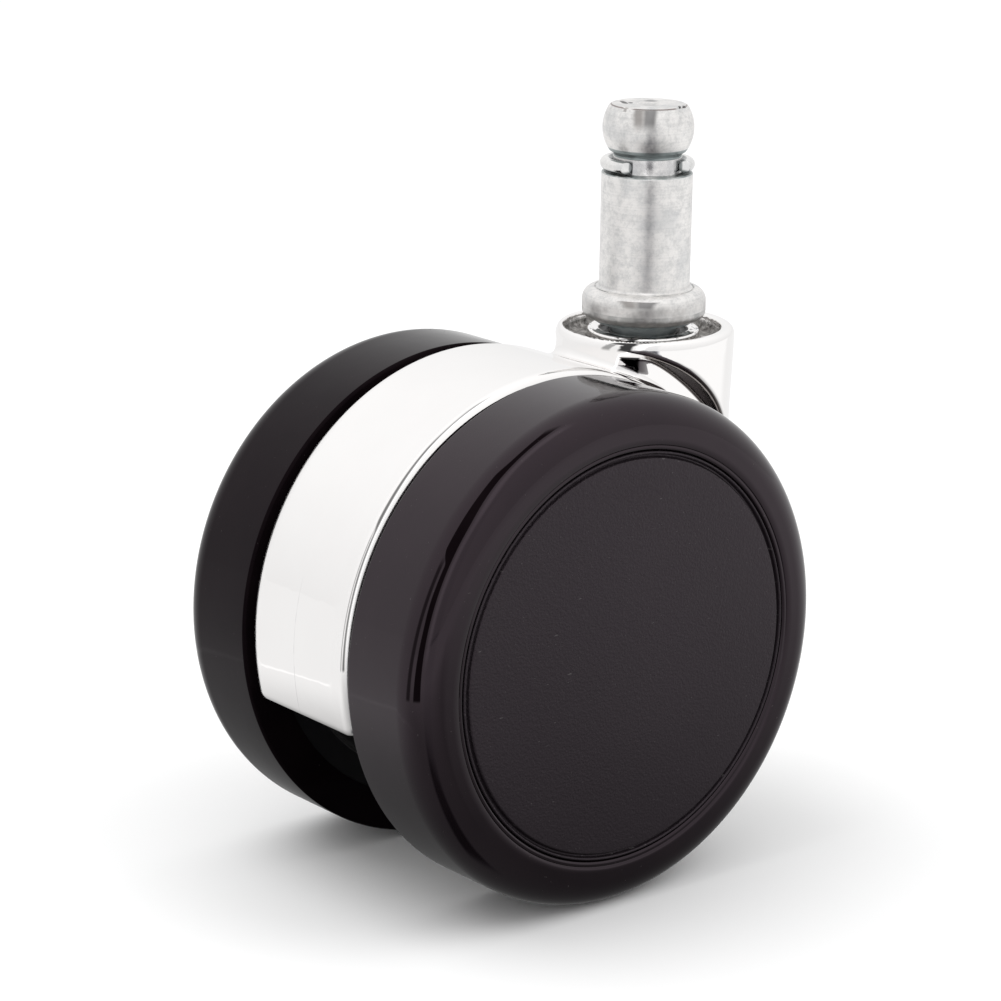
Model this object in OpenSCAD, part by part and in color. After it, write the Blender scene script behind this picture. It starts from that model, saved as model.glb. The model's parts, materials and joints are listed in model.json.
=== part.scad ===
// Twin-wheel hooded chair caster with a grip-ring stem.
// Millimetres, +Z up. The origin is on the swivel axis, at the seat of the stem
// (the top of the stem's collar, where the chair leg's socket lands).
// The wheels trail behind the stem, towards -X. The wheel axle runs along Y,
// with the right-hand wheel at -Y and the left-hand wheel at +Y.

/* [Stem] */
// Diameter of the stem's cylindrical wall
stem_d = 11; // [10.8:0.05:11.2]
// Length of the stem above its seat
stem_len = 22.2; // [22.2:0.1:24]
// Diameter of the collar under the seat
collar_d = 15; // [14:0.1:15.4]
// Height of the collar
collar_h = 3.7; // [3.4:0.1:3.9]
// Diameter of the shank that turns inside the housing
shank_d = 8.1; // [7.9:0.05:8.1]
// Diameter of the grip ring's wire
grip_wire_d = 1.5; // [1.2:0.05:1.5]
// Opening of the grip ring, in degrees
grip_gap = 88; // [40:2:100]

/* [Wheels] */
// Outer diameter of a wheel over the tyre
wheel_d = 61.3; // [60:0.1:61.6]
// Width over both wheels
overall_w = 46.4; // [46:0.1:48]
// Clear distance between the two wheels
wheel_gap = 20.08; // [20:0.02:20.2]
// Rounding of the tyre's outer shoulder
shoulder_r = 4; // [2:0.1:4.5]
// Diameter of the hub cap
cap_d = 48.6; // [47:0.1:48.7]
// Number of ribs behind the hub cap
ribs = 10; // [6:1:14]

/* [Housing] */
// Horizontal distance from the swivel axis to the wheel axle
trail = 21.7; // [21.2:0.1:22.5]
// Height of the stem's seat above the wheel axle
axle_drop = 36.9; // [36.5:0.1:38]
// Outer radius of the hood
hood_r = 30.7; // [29.5:0.05:30.8]
// Height of the hood's centre above the axle
hood_rise = 0.42; // [0:0.02:0.6]
// Width of the hood
hood_w = 19.2; // [18:0.1:19.4]
// Rounding of the hood's long edges
hood_edge_r = 2.6; // [1:0.1:4]
// Wall thickness of the hood
hood_wall = 2.2; // [1.8:0.1:3]
// Outer diameter of the stem housing at its rim
boss_d = 21.7; // [21:0.1:22.5]
// Width of the stem housing between its flat sides
boss_w = 16; // [15.6:0.1:16.8]
// Clearance arch over the tyres, measured from the axle
arch_r = 33.9; // [33.2:0.1:34.1]

/* [Axle] */
// Diameter of the axle pin
axle_d = 8; // [7:0.1:8]
// Length of the axle pin
axle_len = 40; // [39.2:0.2:41]

/* [Hidden] */
$fn = 96;

fit = 0.02;                         // gap between parts that sit together
play = 0.05;                        // gap between parts that turn

// stem
stem_r = stem_d / 2;
collar_r = collar_d / 2;
collar_top_round = 1.5;
collar_low_round = 1;
collar_step = 0.45;                 // height of the small step under the collar
shank_r = shank_d / 2;
shank_end = -28;
shank_chamfer = 0.8;
neck_r = 4.15;                      // floor of the grip ring's groove
groove_bot = 14.1;                  // lower flank of that groove
groove_top = 16.1;
head_z = stem_len - 2.8;            // height of the head's widest point
head_curve_r = 4.8;                 // radius of the head's barrel curve
grip_z = groove_bot + 0.2 + grip_wire_d / 2;
grip_ring_r = neck_r + 0.06 + grip_wire_d / 2;  // to the wire's centre
grip_from = 290.4;                  // angle where the wire starts, after the opening
snap_z = -22.95;                    // snap ring low on the shank
snap_wire_r = 0.55;
snap_ring_r = 4.1;                  // to the wire's centre
snap_opening = 60;                  // degrees, centred on +X
snap_floor_r = 2.9;                 // floor of the snap ring's groove
snap_groove_w = 1.5;

// swivel bearing and stem housing
lip_top = -5;                       // top of the inner lip round the bore
lip_r = 6.85;
rim_top = -4.6;                     // top of the housing's outer rim
rim_round = 0.6;
bush_top = -5.4;
bush_bot = -22.3;
bush_r = 5.4;
bush_bore_r = shank_r + play;
bore_r = bush_r + fit;
bore_step = -24.2;                  // where the bore narrows to the shank
bore_bot = -29.2;
pocket_r = 9.6;
pocket_x = -0.2;
pocket_bot = -6.6;
boss_r = boss_d / 2;
boss_x = 0.3;                       // the rim's wall is thicker at the front
boss_bot = -33;
boss_foot_round = 4;

// hood
half_hood = hood_w / 2;
hood_side_wall = 1.8;
hood_rib_t = 1.6;
hood_rib_angles = [78, 118, 158];   // upwards from +X, about the axle
tube_r = 9;                         // end of the axle tube
tube_core_r = 7.4;                  // axle tube inside the hood

// wheels, measured outwards along the axle from the middle of the caster
wheel_r = wheel_d / 2;
y_in = wheel_gap / 2;
y_out = overall_w / 2;
rim_r = 25.9;
rim_end = y_out - 1.85;
rim_in_r = 22.5;                    // inside of the rim
tyre_bore = rim_r + fit;
tyre_edge_r = 0.6;                  // rounding of the tyre's inner edge
key_starts = [3, 7];                // grooves round the rim, from y_in
key_depth = 1;
cap_r = cap_d / 2;
cap_seat = y_out - 1.4;
tyre_lip_r = cap_r + 0.1;           // tyre lip round the hub cap
hub_r = 8;
hub_in = y_in + 0.36;
hub_out = 17.2;
web_in = y_in + 1.6;
web_out = y_in + 3.4;
rib_t = 1.2;
rib_len = 15.4;
rib_h = 4.6;
wheel_bush_r = 5.2;
hub_bore_r = wheel_bush_r + fit;

// axle and its fittings
axle_r = axle_d / 2;
axle_chamfer = 0.5;
washer_r = 7;
clip_groove = hub_out + 0.7;        // inner flank of the clip's groove
clip_groove_end = clip_groove + 0.9;
clip_floor_r = axle_r - 0.8;
clip_t = 0.8;
clip_slot = 4.6;

// ---------- helpers ----------

// points of an arc round [x, y], between two angles
function arc(x, y, radius, from, to, steps) =
    [for (i = [0:steps]) let (angle = from + (to - from) * i / steps)
        [x + radius * cos(angle), y + radius * sin(angle)]];

// puts a child whose axis is +Z on the wheel axle, pointing outwards;
// side -1 is right (-Y), which also keeps a drawing's X and Y as X and Z;
// side +1 is left (+Y)
module on_axle(side = -1) {
    translate([-trail, 0, -axle_drop])
        rotate([side > 0 ? -90 : 90, 0, 0]) children();
}

// flat ring between two heights
module ring(r_in, r_out, z0, z1) {
    translate([0, 0, z0]) difference() {
        cylinder(r = r_out, h = z1 - z0);
        translate([0, 0, -1]) cylinder(r = r_in, h = z1 - z0 + 2);
    }
}

// ---------- stem ----------

module stem() {
    snap_top = snap_z + snap_groove_w / 2;
    snap_bot = snap_z - snap_groove_w / 2;
    step_z = -collar_h - collar_step;
    color("#b9bdbd") rotate_extrude()
        polygon(concat(
            // shallow centre mark, flat top and turned head
            [[0, stem_len - 0.35], [1.1, stem_len - 0.3], [1.7, stem_len],
             [stem_r - 0.95, stem_len], [stem_r - 0.85, stem_len - 0.1]],
            arc(stem_r - head_curve_r, head_z, head_curve_r, 32, -36, 11),
            // grip ring groove and cylindrical wall
            [[neck_r, groove_top], [neck_r, groove_bot],
             [stem_r - 0.15, groove_bot], [stem_r, groove_bot - 0.15],
             [stem_r, 0]],
            // collar
            arc(collar_r - collar_top_round, -collar_top_round,
                collar_top_round, 90, 0, 5),
            arc(collar_r - collar_low_round, collar_low_round - collar_h,
                collar_low_round, 0, -90, 4),
            [[6.1, -collar_h], [5.9, step_z], [shank_r, step_z]],
            // shank with the snap ring's groove
            [[shank_r, snap_top], [snap_floor_r, snap_top],
             [snap_floor_r, snap_bot], [shank_r, snap_bot],
             [shank_r, shank_end + shank_chamfer],
             [shank_r - shank_chamfer, shank_end], [0, shank_end]]));
}

// open wire ring in the stem's upper groove
module grip_ring() {
    color("#cfd2d1") translate([0, 0, grip_z])
        rotate([0, 0, grip_from])
            rotate_extrude(angle = 360 - grip_gap)
                translate([grip_ring_r, 0]) circle(r = grip_wire_d / 2, $fn = 48);
}

// open wire ring that keeps the shank under the bush
module stem_snap_ring() {
    color("#9a9c9d") translate([0, 0, snap_z])
        rotate([0, 0, snap_opening / 2])
            rotate_extrude(angle = 360 - snap_opening)
                translate([snap_ring_r, 0]) circle(r = snap_wire_r, $fn = 48);
}

// ---------- swivel bearing ----------

// sleeve round the shank, its bore chamfered at the top
module swivel_bush() {
    color("#1b1b1c") rotate_extrude()
        polygon([[bush_bore_r, bush_bot], [bush_r, bush_bot],
                 [bush_r, bush_top], [bush_bore_r + 0.4, bush_top],
                 [bush_bore_r, bush_top - 0.5]]);
}

// disc between the end of the shank and the bottom of its bore
module thrust_disc() {
    disc_bot = bore_bot + fit;
    color("#8e9193") translate([0, 0, disc_bot])
        cylinder(r = shank_r + play, h = shank_end - play - disc_bot);
}

// ---------- housing ----------

// side view of the hood's kept area: X and Z from the axle
module hood_area() {
    union() {
        polygon([[-45, -11.3], [-26, -6.8], [-3, -8.49], [3, -8.49],
                 [12.5, -0.5], [20, 10], [26, 14], [45, 14], [45, 45],
                 [-45, 45]]);
        circle(r = tube_r);
    }
}

// rounded disc the hood is part of
module hood_disc() {
    flat_r = hood_r - hood_edge_r;
    edge_y = half_hood - hood_edge_r;
    translate([0, 0, hood_rise]) on_axle()
        rotate_extrude()
            polygon(concat([[0, -half_hood]],
                arc(flat_r, -edge_y, hood_edge_r, -90, 0, 6),
                arc(flat_r, edge_y, hood_edge_r, 0, 90, 6),
                [[0, half_hood]]));
}

// space inside the hood, round the stem housing, the axle tube and the ribs
module hood_cavity() {
    difference() {
        translate([0, 0, hood_rise]) on_axle()
            cylinder(r = hood_r - hood_wall,
                     h = hood_w - 2 * hood_side_wall, center = true);
        translate([0, 0, -60]) cylinder(r = 10.4, h = 60);
        on_axle() cylinder(r = tube_core_r, h = hood_w, center = true);
        // ribs from the axle tube to the skin
        for (angle = hood_rib_angles)
            translate([-trail, 0, -axle_drop]) rotate([0, -angle, 0])
                translate([0, -half_hood, -hood_rib_t / 2])
                    cube([hood_r, hood_w, hood_rib_t]);
    }
}

// outer shape of the stem housing
module boss_outer() {
    translate([boss_x, 0, 0]) rotate_extrude()
        polygon(concat([[0, boss_bot]],
            arc(boss_r - 4.55, boss_bot + boss_foot_round, boss_foot_round,
                -90, -4, 6),
            [[boss_r - 0.3, -15], [boss_r, -7]],
            arc(boss_r - rim_round, rim_top - rim_round, rim_round, 0, 90, 3),
            [[0, rim_top]]));
}

// what a tyre needs beside the housing: a flat side below, an arch above
module tyre_clearance(side) {
    on_axle(side) translate([0, 0, boss_w / 2])
        cylinder(r1 = arch_r, r2 = arch_r + 1, h = 4);
}

module body_casting() {
    color("#e9ebec") difference() {
        union() {
            difference() {
                union() {
                    intersection() {
                        hood_disc();
                        on_axle() linear_extrude(height = hood_w + 2, center = true)
                            hood_area();
                    }
                    difference() {
                        boss_outer();
                        for (side = [-1, 1]) tyre_clearance(side);
                    }
                }
                hood_cavity();
                // pocket inside the rim
                translate([pocket_x, 0, pocket_bot])
                    cylinder(r = pocket_r, h = 10);
            }
            // inner lip round the bore, rooted 1 mm into the pocket's floor
            translate([0, 0, pocket_bot - 1])
                cylinder(r = lip_r, h = lip_top - pocket_bot + 1);
        }
        // bore for the bush and snap ring, then for the end of the shank
        translate([0, 0, bore_step]) cylinder(r = bore_r, h = 30);
        translate([0, 0, bore_bot]) cylinder(r = shank_r + 0.1, h = 10);
        // bore for the axle
        on_axle() cylinder(r = axle_r + fit, h = 40, center = true);
    }
}

// ---------- axle and its fittings ----------

// pin with chamfered ends and a clip groove near each end
module axle() {
    end = axle_len / 2;
    // outline of one half, from the end's centre inwards
    half = [[0, end], [axle_r - axle_chamfer, end], [axle_r, end - axle_chamfer],
            [axle_r, clip_groove_end], [clip_floor_r, clip_groove_end],
            [clip_floor_r, clip_groove], [axle_r, clip_groove]];
    color("#a9acae") on_axle() rotate_extrude()
        polygon(concat([for (point = half) [point[0], -point[1]]],
                       [for (i = [len(half) - 1:-1:0]) half[i]]));
}

// E-shaped spring clip; its slot opens down on the right, up on the left
module axle_clip(side) {
    color("#77797b") on_axle(side) translate([0, 0, clip_groove + play])
        linear_extrude(height = clip_t) difference() {
            circle(r = axle_r + 2.3);
            circle(r = clip_floor_r + play);
            translate([0, -10]) square([clip_slot, 20], center = true);
            // notches in the inner edge
            for (angle = [25, 155]) rotate(angle) translate([axle_r + 0.1, 0])
                circle(r = 1.1);
        }
}
module right_axle_clip() axle_clip(-1);
module left_axle_clip() axle_clip(1);

// washer between the hood and the wheel's hub
module spacer_washer(side) {
    color("#dcdcd6") on_axle(side)
        ring(axle_r + play, washer_r, half_hood + 0.03, hub_in - play);
}
module right_spacer_washer() spacer_washer(-1);
module left_spacer_washer() spacer_washer(1);

// washer between the wheel's hub and the clip
module outer_washer(side) {
    color("#b5b8ba") on_axle(side)
        ring(axle_r + play, washer_r, hub_out + 0.08, clip_groove - fit);
}
module right_outer_washer() outer_washer(-1);
module left_outer_washer() outer_washer(1);

// ---------- wheels ----------

// moulded centre: hub, web, ribs and rim
module wheel_core(side) {
    color("#232224") on_axle(side) {
        rotate_extrude() polygon(concat(
            // inner side of hub, web and rim
            [[hub_bore_r, hub_in], [hub_r, hub_in], [hub_r, web_in],
             [rim_in_r, web_in], [22.9, y_in + 0.2], [rim_r, y_in + 0.2]],
            // grooves round the rim
            [for (start = key_starts, point = [[0, 0], [key_depth, 0.4],
                                               [key_depth, 1.6], [0, 2]])
                [rim_r - point[0], y_in + start + point[1]]],
            // outer end of the rim and the groove for the hub cap's bead
            [[rim_r, rim_end], [cap_r, rim_end],
             [cap_r, cap_seat], [rim_in_r, cap_seat],
             [rim_in_r, 19.9], [23, 19.7], [23, 18.5], [rim_in_r, 18.3]],
            // outer side of web and hub
            [[rim_in_r, web_out], [hub_r, web_out],
             [hub_r, hub_out], [hub_bore_r, hub_out]]));
        // ribs behind the hub cap
        for (i = [0:ribs - 1]) rotate([0, 0, i * 360 / ribs])
            translate([hub_r - 0.5, -rib_t / 2, web_out - 0.4])
                cube([rib_len, rib_t, rib_h]);
    }
}
module right_wheel_core() wheel_core(-1);
module left_wheel_core() wheel_core(1);

module wheel_bush(side) {
    color("#c9b98a") on_axle(side)
        ring(axle_r + 0.04, wheel_bush_r, hub_in, hub_out);
}
module right_wheel_bush() wheel_bush(-1);
module left_wheel_bush() wheel_bush(1);

// tyre moulded over the rim, with a lip round the hub cap
module tyre(side) {
    color("#1d1b1e") on_axle(side) rotate_extrude()
        polygon(concat(
            [[tyre_bore, y_in]],
            arc(wheel_r - tyre_edge_r, y_in + tyre_edge_r, tyre_edge_r, -90, 0, 3),
            arc(wheel_r - shoulder_r, y_out - shoulder_r, shoulder_r, 0, 90, 12),
            [[tyre_lip_r + 0.15, y_out], [tyre_lip_r, y_out - 0.15],
             [tyre_lip_r, rim_end + fit], [tyre_bore, rim_end + fit]],
            // ridges that fill the rim's grooves, from the outer one inwards
            [for (i = [len(key_starts) - 1:-1:0],
                  point = [[0, 1.97], [key_depth, 1.55],
                           [key_depth, 0.45], [0, 0.03]])
                [tyre_bore - point[0], y_in + key_starts[i] + point[1]]]));
}
module right_tyre() tyre(-1);
module left_tyre() tyre(1);

// snap-in disc with a beaded skirt
module hub_cap(side) {
    back = y_out - 1.3;
    face = y_out - fit;
    color("#2a2a2c") on_axle(side) rotate_extrude()
        polygon([
            // back of the disc, then the skirt and its bead
            [0, back], [21, back], [21, 18.2], [22, 18.2],
            [22.3, 18.6], [22.75, 18.9], [22.75, 19.3], [22.3, 19.7],
            // flange, rounded edge and face
            [22.3, cap_seat + fit], [cap_r, cap_seat + fit],
            [cap_r, y_out - 0.45], [cap_r - 0.15, y_out - 0.2],
            [cap_r - 0.5, face], [0, face]]);
}
module right_hub_cap() hub_cap(-1);
module left_hub_cap() hub_cap(1);

stem();
grip_ring();
stem_snap_ring();
swivel_bush();
thrust_disc();
body_casting();
axle();
right_axle_clip();
left_axle_clip();
right_spacer_washer();
left_spacer_washer();
right_outer_washer();
left_outer_washer();
right_wheel_core();
left_wheel_core();
right_wheel_bush();
left_wheel_bush();
right_tyre();
left_tyre();
right_hub_cap();
left_hub_cap();
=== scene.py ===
"""Twin-wheel swivel castor: a chrome casting over two hubbed wheels, on a zinc stem.

The stem stands on the Z axis, with Z = 0 at its collar's upper face. The wheels trail
towards -X and hang below, on an axle along Y; the right wheel is at -Y, the left at +Y.
Sizes are in millimetres unless said otherwise, and build() turns them into metres.
"""
import json
import math
import random

import bpy
import numpy as np
from mathutils import Matrix, Vector


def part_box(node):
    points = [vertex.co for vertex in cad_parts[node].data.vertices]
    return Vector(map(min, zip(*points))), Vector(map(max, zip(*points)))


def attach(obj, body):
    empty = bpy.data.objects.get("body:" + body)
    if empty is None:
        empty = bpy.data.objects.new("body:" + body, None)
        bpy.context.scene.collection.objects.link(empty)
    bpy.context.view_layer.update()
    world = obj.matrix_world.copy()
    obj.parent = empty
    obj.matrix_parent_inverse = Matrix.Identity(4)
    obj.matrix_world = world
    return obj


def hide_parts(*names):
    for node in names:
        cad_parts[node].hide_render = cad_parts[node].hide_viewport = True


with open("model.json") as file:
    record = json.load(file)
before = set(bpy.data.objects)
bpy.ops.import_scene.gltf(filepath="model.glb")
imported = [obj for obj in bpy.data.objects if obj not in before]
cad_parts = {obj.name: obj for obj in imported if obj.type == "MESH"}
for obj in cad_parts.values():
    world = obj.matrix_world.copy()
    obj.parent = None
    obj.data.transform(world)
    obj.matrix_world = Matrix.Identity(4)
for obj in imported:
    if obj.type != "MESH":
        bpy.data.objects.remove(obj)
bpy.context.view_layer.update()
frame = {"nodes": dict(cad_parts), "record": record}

random.seed(7)
MM = 0.001


# ------------------------------------------------------------------ sizes from the CAD
def box_mm(node):
    low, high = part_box(node)
    return [float(c) * 1000.0 for c in low], [float(c) * 1000.0 for c in high]


tyre_low, tyre_high = box_mm("right_tyre")
TRAIL = -(tyre_low[0] + tyre_high[0]) / 2.0     # axle behind the swivel axis
DROP = -(tyre_low[2] + tyre_high[2]) / 2.0      # axle below Z = 0
WHEEL_R = (tyre_high[2] - tyre_low[2]) / 2.0
Y_OUT = -tyre_low[1]                            # outer face of a wheel
Y_IN = -tyre_high[1]                            # inner face of a wheel
FLOOR_Z = tyre_low[2]
_, stem_high = box_mm("stem")
STEM_TOP = stem_high[2]
COLLAR_R = stem_high[0]
cap_low, cap_high = box_mm("right_hub_cap")
CAP_R = (cap_high[2] - cap_low[2]) / 2.0
grip_low, grip_high = box_mm("grip_ring")
GRIP_Z = (grip_low[2] + grip_high[2]) / 2.0
WIRE_R = (grip_high[2] - grip_low[2]) / 2.0
GRIP_R = grip_high[0] - WIRE_R                  # middle of the grip ring's wire
STEM_R = 5.5
SHANK_R = 4.05

# ------------------------------------------------------------------ sizes of the casting
HOOD_R = 30.7
HOOD_HALF_W = 9.6
HOOD_RISE = 0.42                # hood's centre above the axle
HOOD_EDGE_RIGHT = 1.3           # rounding of the hood's edges
HOOD_EDGE_LEFT = 2.8
HOOD_WALL = 2.2
BOSS_X = 0.3                    # middle of the stem housing
BOSS_R = 10.85
RIM_TOP = -4.6                  # top of the housing's rim
BOSS_BOTTOM = -33.0
POCKET_X = -0.2
POCKET_R = 9.6
LIP_TOP = -5.0                  # lip round the stem bore
LIP_R = 6.85
FLAT_Y = 8.0                    # flat side of the housing below each arch
ARCH_R = 33.95                  # arch over each tyre, from the axle
ARCH_SLOPE = 0.22               # gain in arch radius for each mm outwards
ARCH_BLEND = 0.3
RIB_ANGLES = (78, 118, 158)     # ribs inside the hood, degrees round the axle

# Side outline that keeps the hood above its lower edge: (x, z) from the axle
HOOD_OUTLINE = [
    (-45, -11.3), (-26, -6.8), (-3, -8.49), (3, -8.49), (12.5, -0.5),
    (20, 10), (26, 14), (45, 14), (45, 45), (-45, 45),
]


# ------------------------------------------------------------------ shader values
class Value:
    """A shader output; arithmetic on it adds Math nodes in the order it is written."""

    def __init__(self, socket):
        self.socket = socket

    def __add__(self, other):
        return math_node("ADD", self, other)

    def __radd__(self, other):
        return math_node("ADD", other, self)

    def __sub__(self, other):
        return math_node("SUBTRACT", self, other)

    def __rsub__(self, other):
        return math_node("SUBTRACT", other, self)

    def __mul__(self, other):
        return math_node("MULTIPLY", self, other)

    def __truediv__(self, other):
        return math_node("DIVIDE", self, other)

    def __pow__(self, other):
        return math_node("POWER", self, other)

    def __abs__(self):
        return math_node("ABSOLUTE", self)

    def __lt__(self, other):
        return math_node("LESS_THAN", self, other)

    def __gt__(self, other):
        return math_node("GREATER_THAN", self, other)


def feed(socket, value):
    """Links a Value to a socket, or sets a plain number, vector or RGB colour."""
    if isinstance(value, Value):
        socket.id_data.links.new(value.socket, socket)
    elif socket.type == "RGBA":
        socket.default_value = (*value, 1)
    else:
        socket.default_value = value


def feed_all(node, inputs):
    for key, value in inputs.items():
        feed(node.inputs[key], value)


def add_node(tree, kind, inputs, output=0, **settings):
    node = tree.nodes.new(kind)
    for key, value in settings.items():
        setattr(node, key, value)
    feed_all(node, inputs)
    return Value(node.outputs[output])


def sources(tree, kind, *names):
    """The named outputs of one new node that needs no inputs."""
    node = tree.nodes.new(kind)
    return [Value(node.outputs[name]) for name in names]


def tree_of(*values):
    return next(v.socket.id_data for v in values if isinstance(v, Value))


def math_node(operation, a, b=0.0, c=0.0):
    return add_node(tree_of(a, b, c), "ShaderNodeMath", {0: a, 1: b, 2: c},
                    operation=operation)


def mul_add(value, factor, addend):
    return math_node("MULTIPLY_ADD", value, factor, addend)


def clamp(value):
    """Holds the Math node behind a value to 0..1."""
    value.socket.node.use_clamp = True
    return value


def step(value, start, end):
    """Smooth step, 0 at start and 1 at end."""
    return add_node(tree_of(value), "ShaderNodeMapRange",
                    {"From Min": start, "From Max": end, "Value": value},
                    "Result", interpolation_type="SMOOTHSTEP")


def ramp(value, start, end, low=0.0, high=1.0):
    """Straight ramp, low at start and high at end."""
    node = tree_of(value).nodes.new("ShaderNodeValToRGB")
    stops = ((start, low), (end, high))
    for element, (position, grey) in zip(node.color_ramp.elements, stops):
        element.position = position
        element.color = (grey, grey, grey, 1)
    feed(node.inputs["Fac"], value)
    return Value(node.outputs["Color"])


def mix(factor, first, second):
    return add_node(tree_of(factor), "ShaderNodeMix",
                    {"Factor": factor, "A": first, "B": second}, "Result", data_type="RGBA")


def stain(colour, mask, strength, to):
    """Takes a colour towards another where the mask is 1."""
    return mix(mask * strength, colour, to)


def dot(vector, axis):
    return add_node(tree_of(vector), "ShaderNodeVectorMath", {0: vector, 1: axis},
                    "Value", operation="DOT_PRODUCT")


def scaled(vector, factor):
    return add_node(tree_of(vector), "ShaderNodeVectorMath", {0: vector, "Scale": factor},
                    operation="SCALE")


def combine(x, y, z):
    return add_node(tree_of(x, y, z), "ShaderNodeCombineXYZ", {0: x, 1: y, 2: z})


def split(vector):
    node = tree_of(vector).nodes.new("ShaderNodeSeparateXYZ")
    feed(node.inputs[0], vector)
    return [Value(output) for output in node.outputs]


def noise(place, scale, detail, rough, stretch=(1, 1, 1), offset=(0, 0, 0)):
    tree = tree_of(place)
    if stretch != (1, 1, 1) or offset != (0, 0, 0):
        place = add_node(tree, "ShaderNodeMapping",
                         {"Scale": stretch, "Location": offset, "Vector": place}, "Vector")
    return add_node(tree, "ShaderNodeTexNoise",
                    {"Scale": scale, "Detail": detail, "Roughness": rough, "Vector": place},
                    "Fac")


def bump(height, strength, distance, over=None):
    """Bumped normal, laid over an earlier one if given."""
    inputs = {"Strength": strength, "Distance": distance, "Height": height}
    if over is not None:
        inputs["Normal"] = over
    return add_node(tree_of(height), "ShaderNodeBump", inputs, "Normal")


def new_material(name):
    """A material, its shader and its object coordinates in millimetres."""
    material = bpy.data.materials.new(name)
    material.use_nodes = True
    tree = material.node_tree
    [place] = sources(tree, "ShaderNodeTexCoord", "Object")
    return material, tree.nodes["Principled BSDF"], scaled(place, 1000.0)


def sin_deg(degrees):
    return math.sin(math.radians(degrees))


# ------------------------------------------------------------------ mirrored surroundings
# Directions in which the surroundings change
UP = (0, 0, 1)
ACROSS_SLIT = (-0.301, 0.927, 0.2247)
TO_SLIT = (-0.785, -0.366, 0.5)
TO_CAMERA = (-0.719, -0.695, 0.0)
BESIDE_CAMERA = (-0.695, 0.719, 0.0)


def slit_place(direction):
    """Height, place across the slit, nearness to it, and distance past its low edge."""
    rise = dot(direction, UP)
    across = dot(direction, ACROSS_SLIT)
    near = step(dot(direction, TO_SLIT), 0.27, 0.42)
    low_edge = mul_add(rise, 0.235, -0.235) + step(rise, 0.68, 0.97) * 0.14
    return rise, across, near, across - low_edge


def painted_slit_gain(tree, softness=0.022, where=None):
    """Painted reflection of a dark slit between two soft boxes, a slit that is not in the
    scene: 1 where nothing dark is painted, falling to 0 in the narrow slit and in its softer
    neighbour; straight views only."""
    [mirrored] = sources(tree, "ShaderNodeTexCoord", "Reflection")
    rise, across, near, past_low = slit_place(mirrored)
    above = step(rise, sin_deg(-18.5), sin_deg(-17.0))
    high_edge = mul_add(step(rise, 0.10, 0.35), 0.06, 0.05)
    high_edge = mul_add(step(rise, 0.53, 0.65), 0.31, high_edge)
    high_edge = mul_add(step(rise, 0.94, 1.0), -0.12, high_edge)
    before_high = high_edge - across
    slit_strength = 0.97
    neighbour_strength = 0.60
    slit = (step(past_low, -softness, softness) * step(before_high, -softness, softness)
            * near * above * slit_strength)
    neighbour = (step(across, 0.20, 0.27) * (1.0 - step(across, 0.36, 0.44))
                 * near * above * (1.0 - step(rise, 0.52, 0.62)) * neighbour_strength)
    kept = (1.0 - slit) * (1.0 - neighbour)
    [straight] = sources(tree, "ShaderNodeLightPath", "Is Camera Ray")
    lost = (1.0 - kept) * straight
    if where is not None:
        lost = lost * where
    return 1.0 - lost


def room(direction, from_high=None):
    """What the shiny parts mirror, by direction: a bright tent, a brighter line beside
    its slit, and the dark camera. from_high is 1 for rays that left at the stem's height."""
    rise = dot(direction, UP)
    _, _, near, past_low = slit_place(direction)
    line_strength = 0.55
    line = abs(past_low + 0.17)
    line = ((1.0 - step(line, 0.03, 0.12)) * near
            * step(rise, sin_deg(-10), sin_deg(5)) * line_strength)
    # the camera, its stand and whoever is behind it
    dark_below, dark_above = 0.86, 0.10
    dark = abs(dot(direction, BESIDE_CAMERA) + sin_deg(11.0))
    dark = 1.0 - step(dark, sin_deg(7.0), sin_deg(13.5))
    strength = dark_below + step(rise, -0.03, 0.03) * (dark_above - dark_below)
    dark = (dark * step(dot(direction, TO_CAMERA), 0.1, 0.3)
            * (1.0 - step(rise, sin_deg(40.0), sin_deg(55.0))) * strength)
    if from_high is not None:
        dark = dark * mul_add(from_high, 0.9, 0.1)
    light = (1.0 - dark) * (1.0 + line)
    # the camera leaves a bluish grey
    return combine(light, light, light * mul_add(dark, 0.10, 1.0))


# ------------------------------------------------------------------ materials
def tyre_material(name, specular):
    material, bsdf, place = new_material(name)
    _, y, _ = split(place)
    # painted shade: the tyre's inner side, between the wheels, shines less
    shaded_inner_side = abs(y) < 10.32
    inner_shade_loss = 0.85
    # painted reflection: the tyre's shine is taken away where a dark slit would be mirrored, a
    # dark streak along the shoulder
    painted_streak_gain = painted_slit_gain(material.node_tree) ** 1.8
    cloud = noise(place, scale=0.09, detail=4, rough=0.6)
    grain = noise(place, scale=0.55, detail=5, rough=0.6)
    colour = mix(ramp(cloud, 0.35, 0.7), (0.0042, 0.0026, 0.0034), (0.0068, 0.0044, 0.0054))
    # a few dust specks
    dust = ramp(noise(place, scale=2.7, detail=1, rough=0.2), 0.80, 0.83)
    colour = stain(colour, dust, strength=0.25, to=(0.12, 0.11, 0.11))
    # faint ripple of a moulded skin, and small pits
    ripple = noise(place, scale=0.16, detail=2, rough=0.4)
    pits = noise(place, scale=5.5, detail=2, rough=0.5)
    normal = bump(ripple, strength=0.30, distance=0.00012)
    feed_all(bsdf, {
        "Base Color": colour,
        "Roughness": ramp(grain, 0.3, 0.75, low=0.055, high=0.095) + dust * 0.4,
        "Specular IOR Level": (1.0 - shaded_inner_side * inner_shade_loss) * painted_streak_gain * specular,
        "Specular Tint": (1.0, 0.80, 0.93),
        "IOR": 1.47,
        "Normal": bump(pits, strength=0.08, distance=0.00001, over=normal),
    })
    return material


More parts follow.
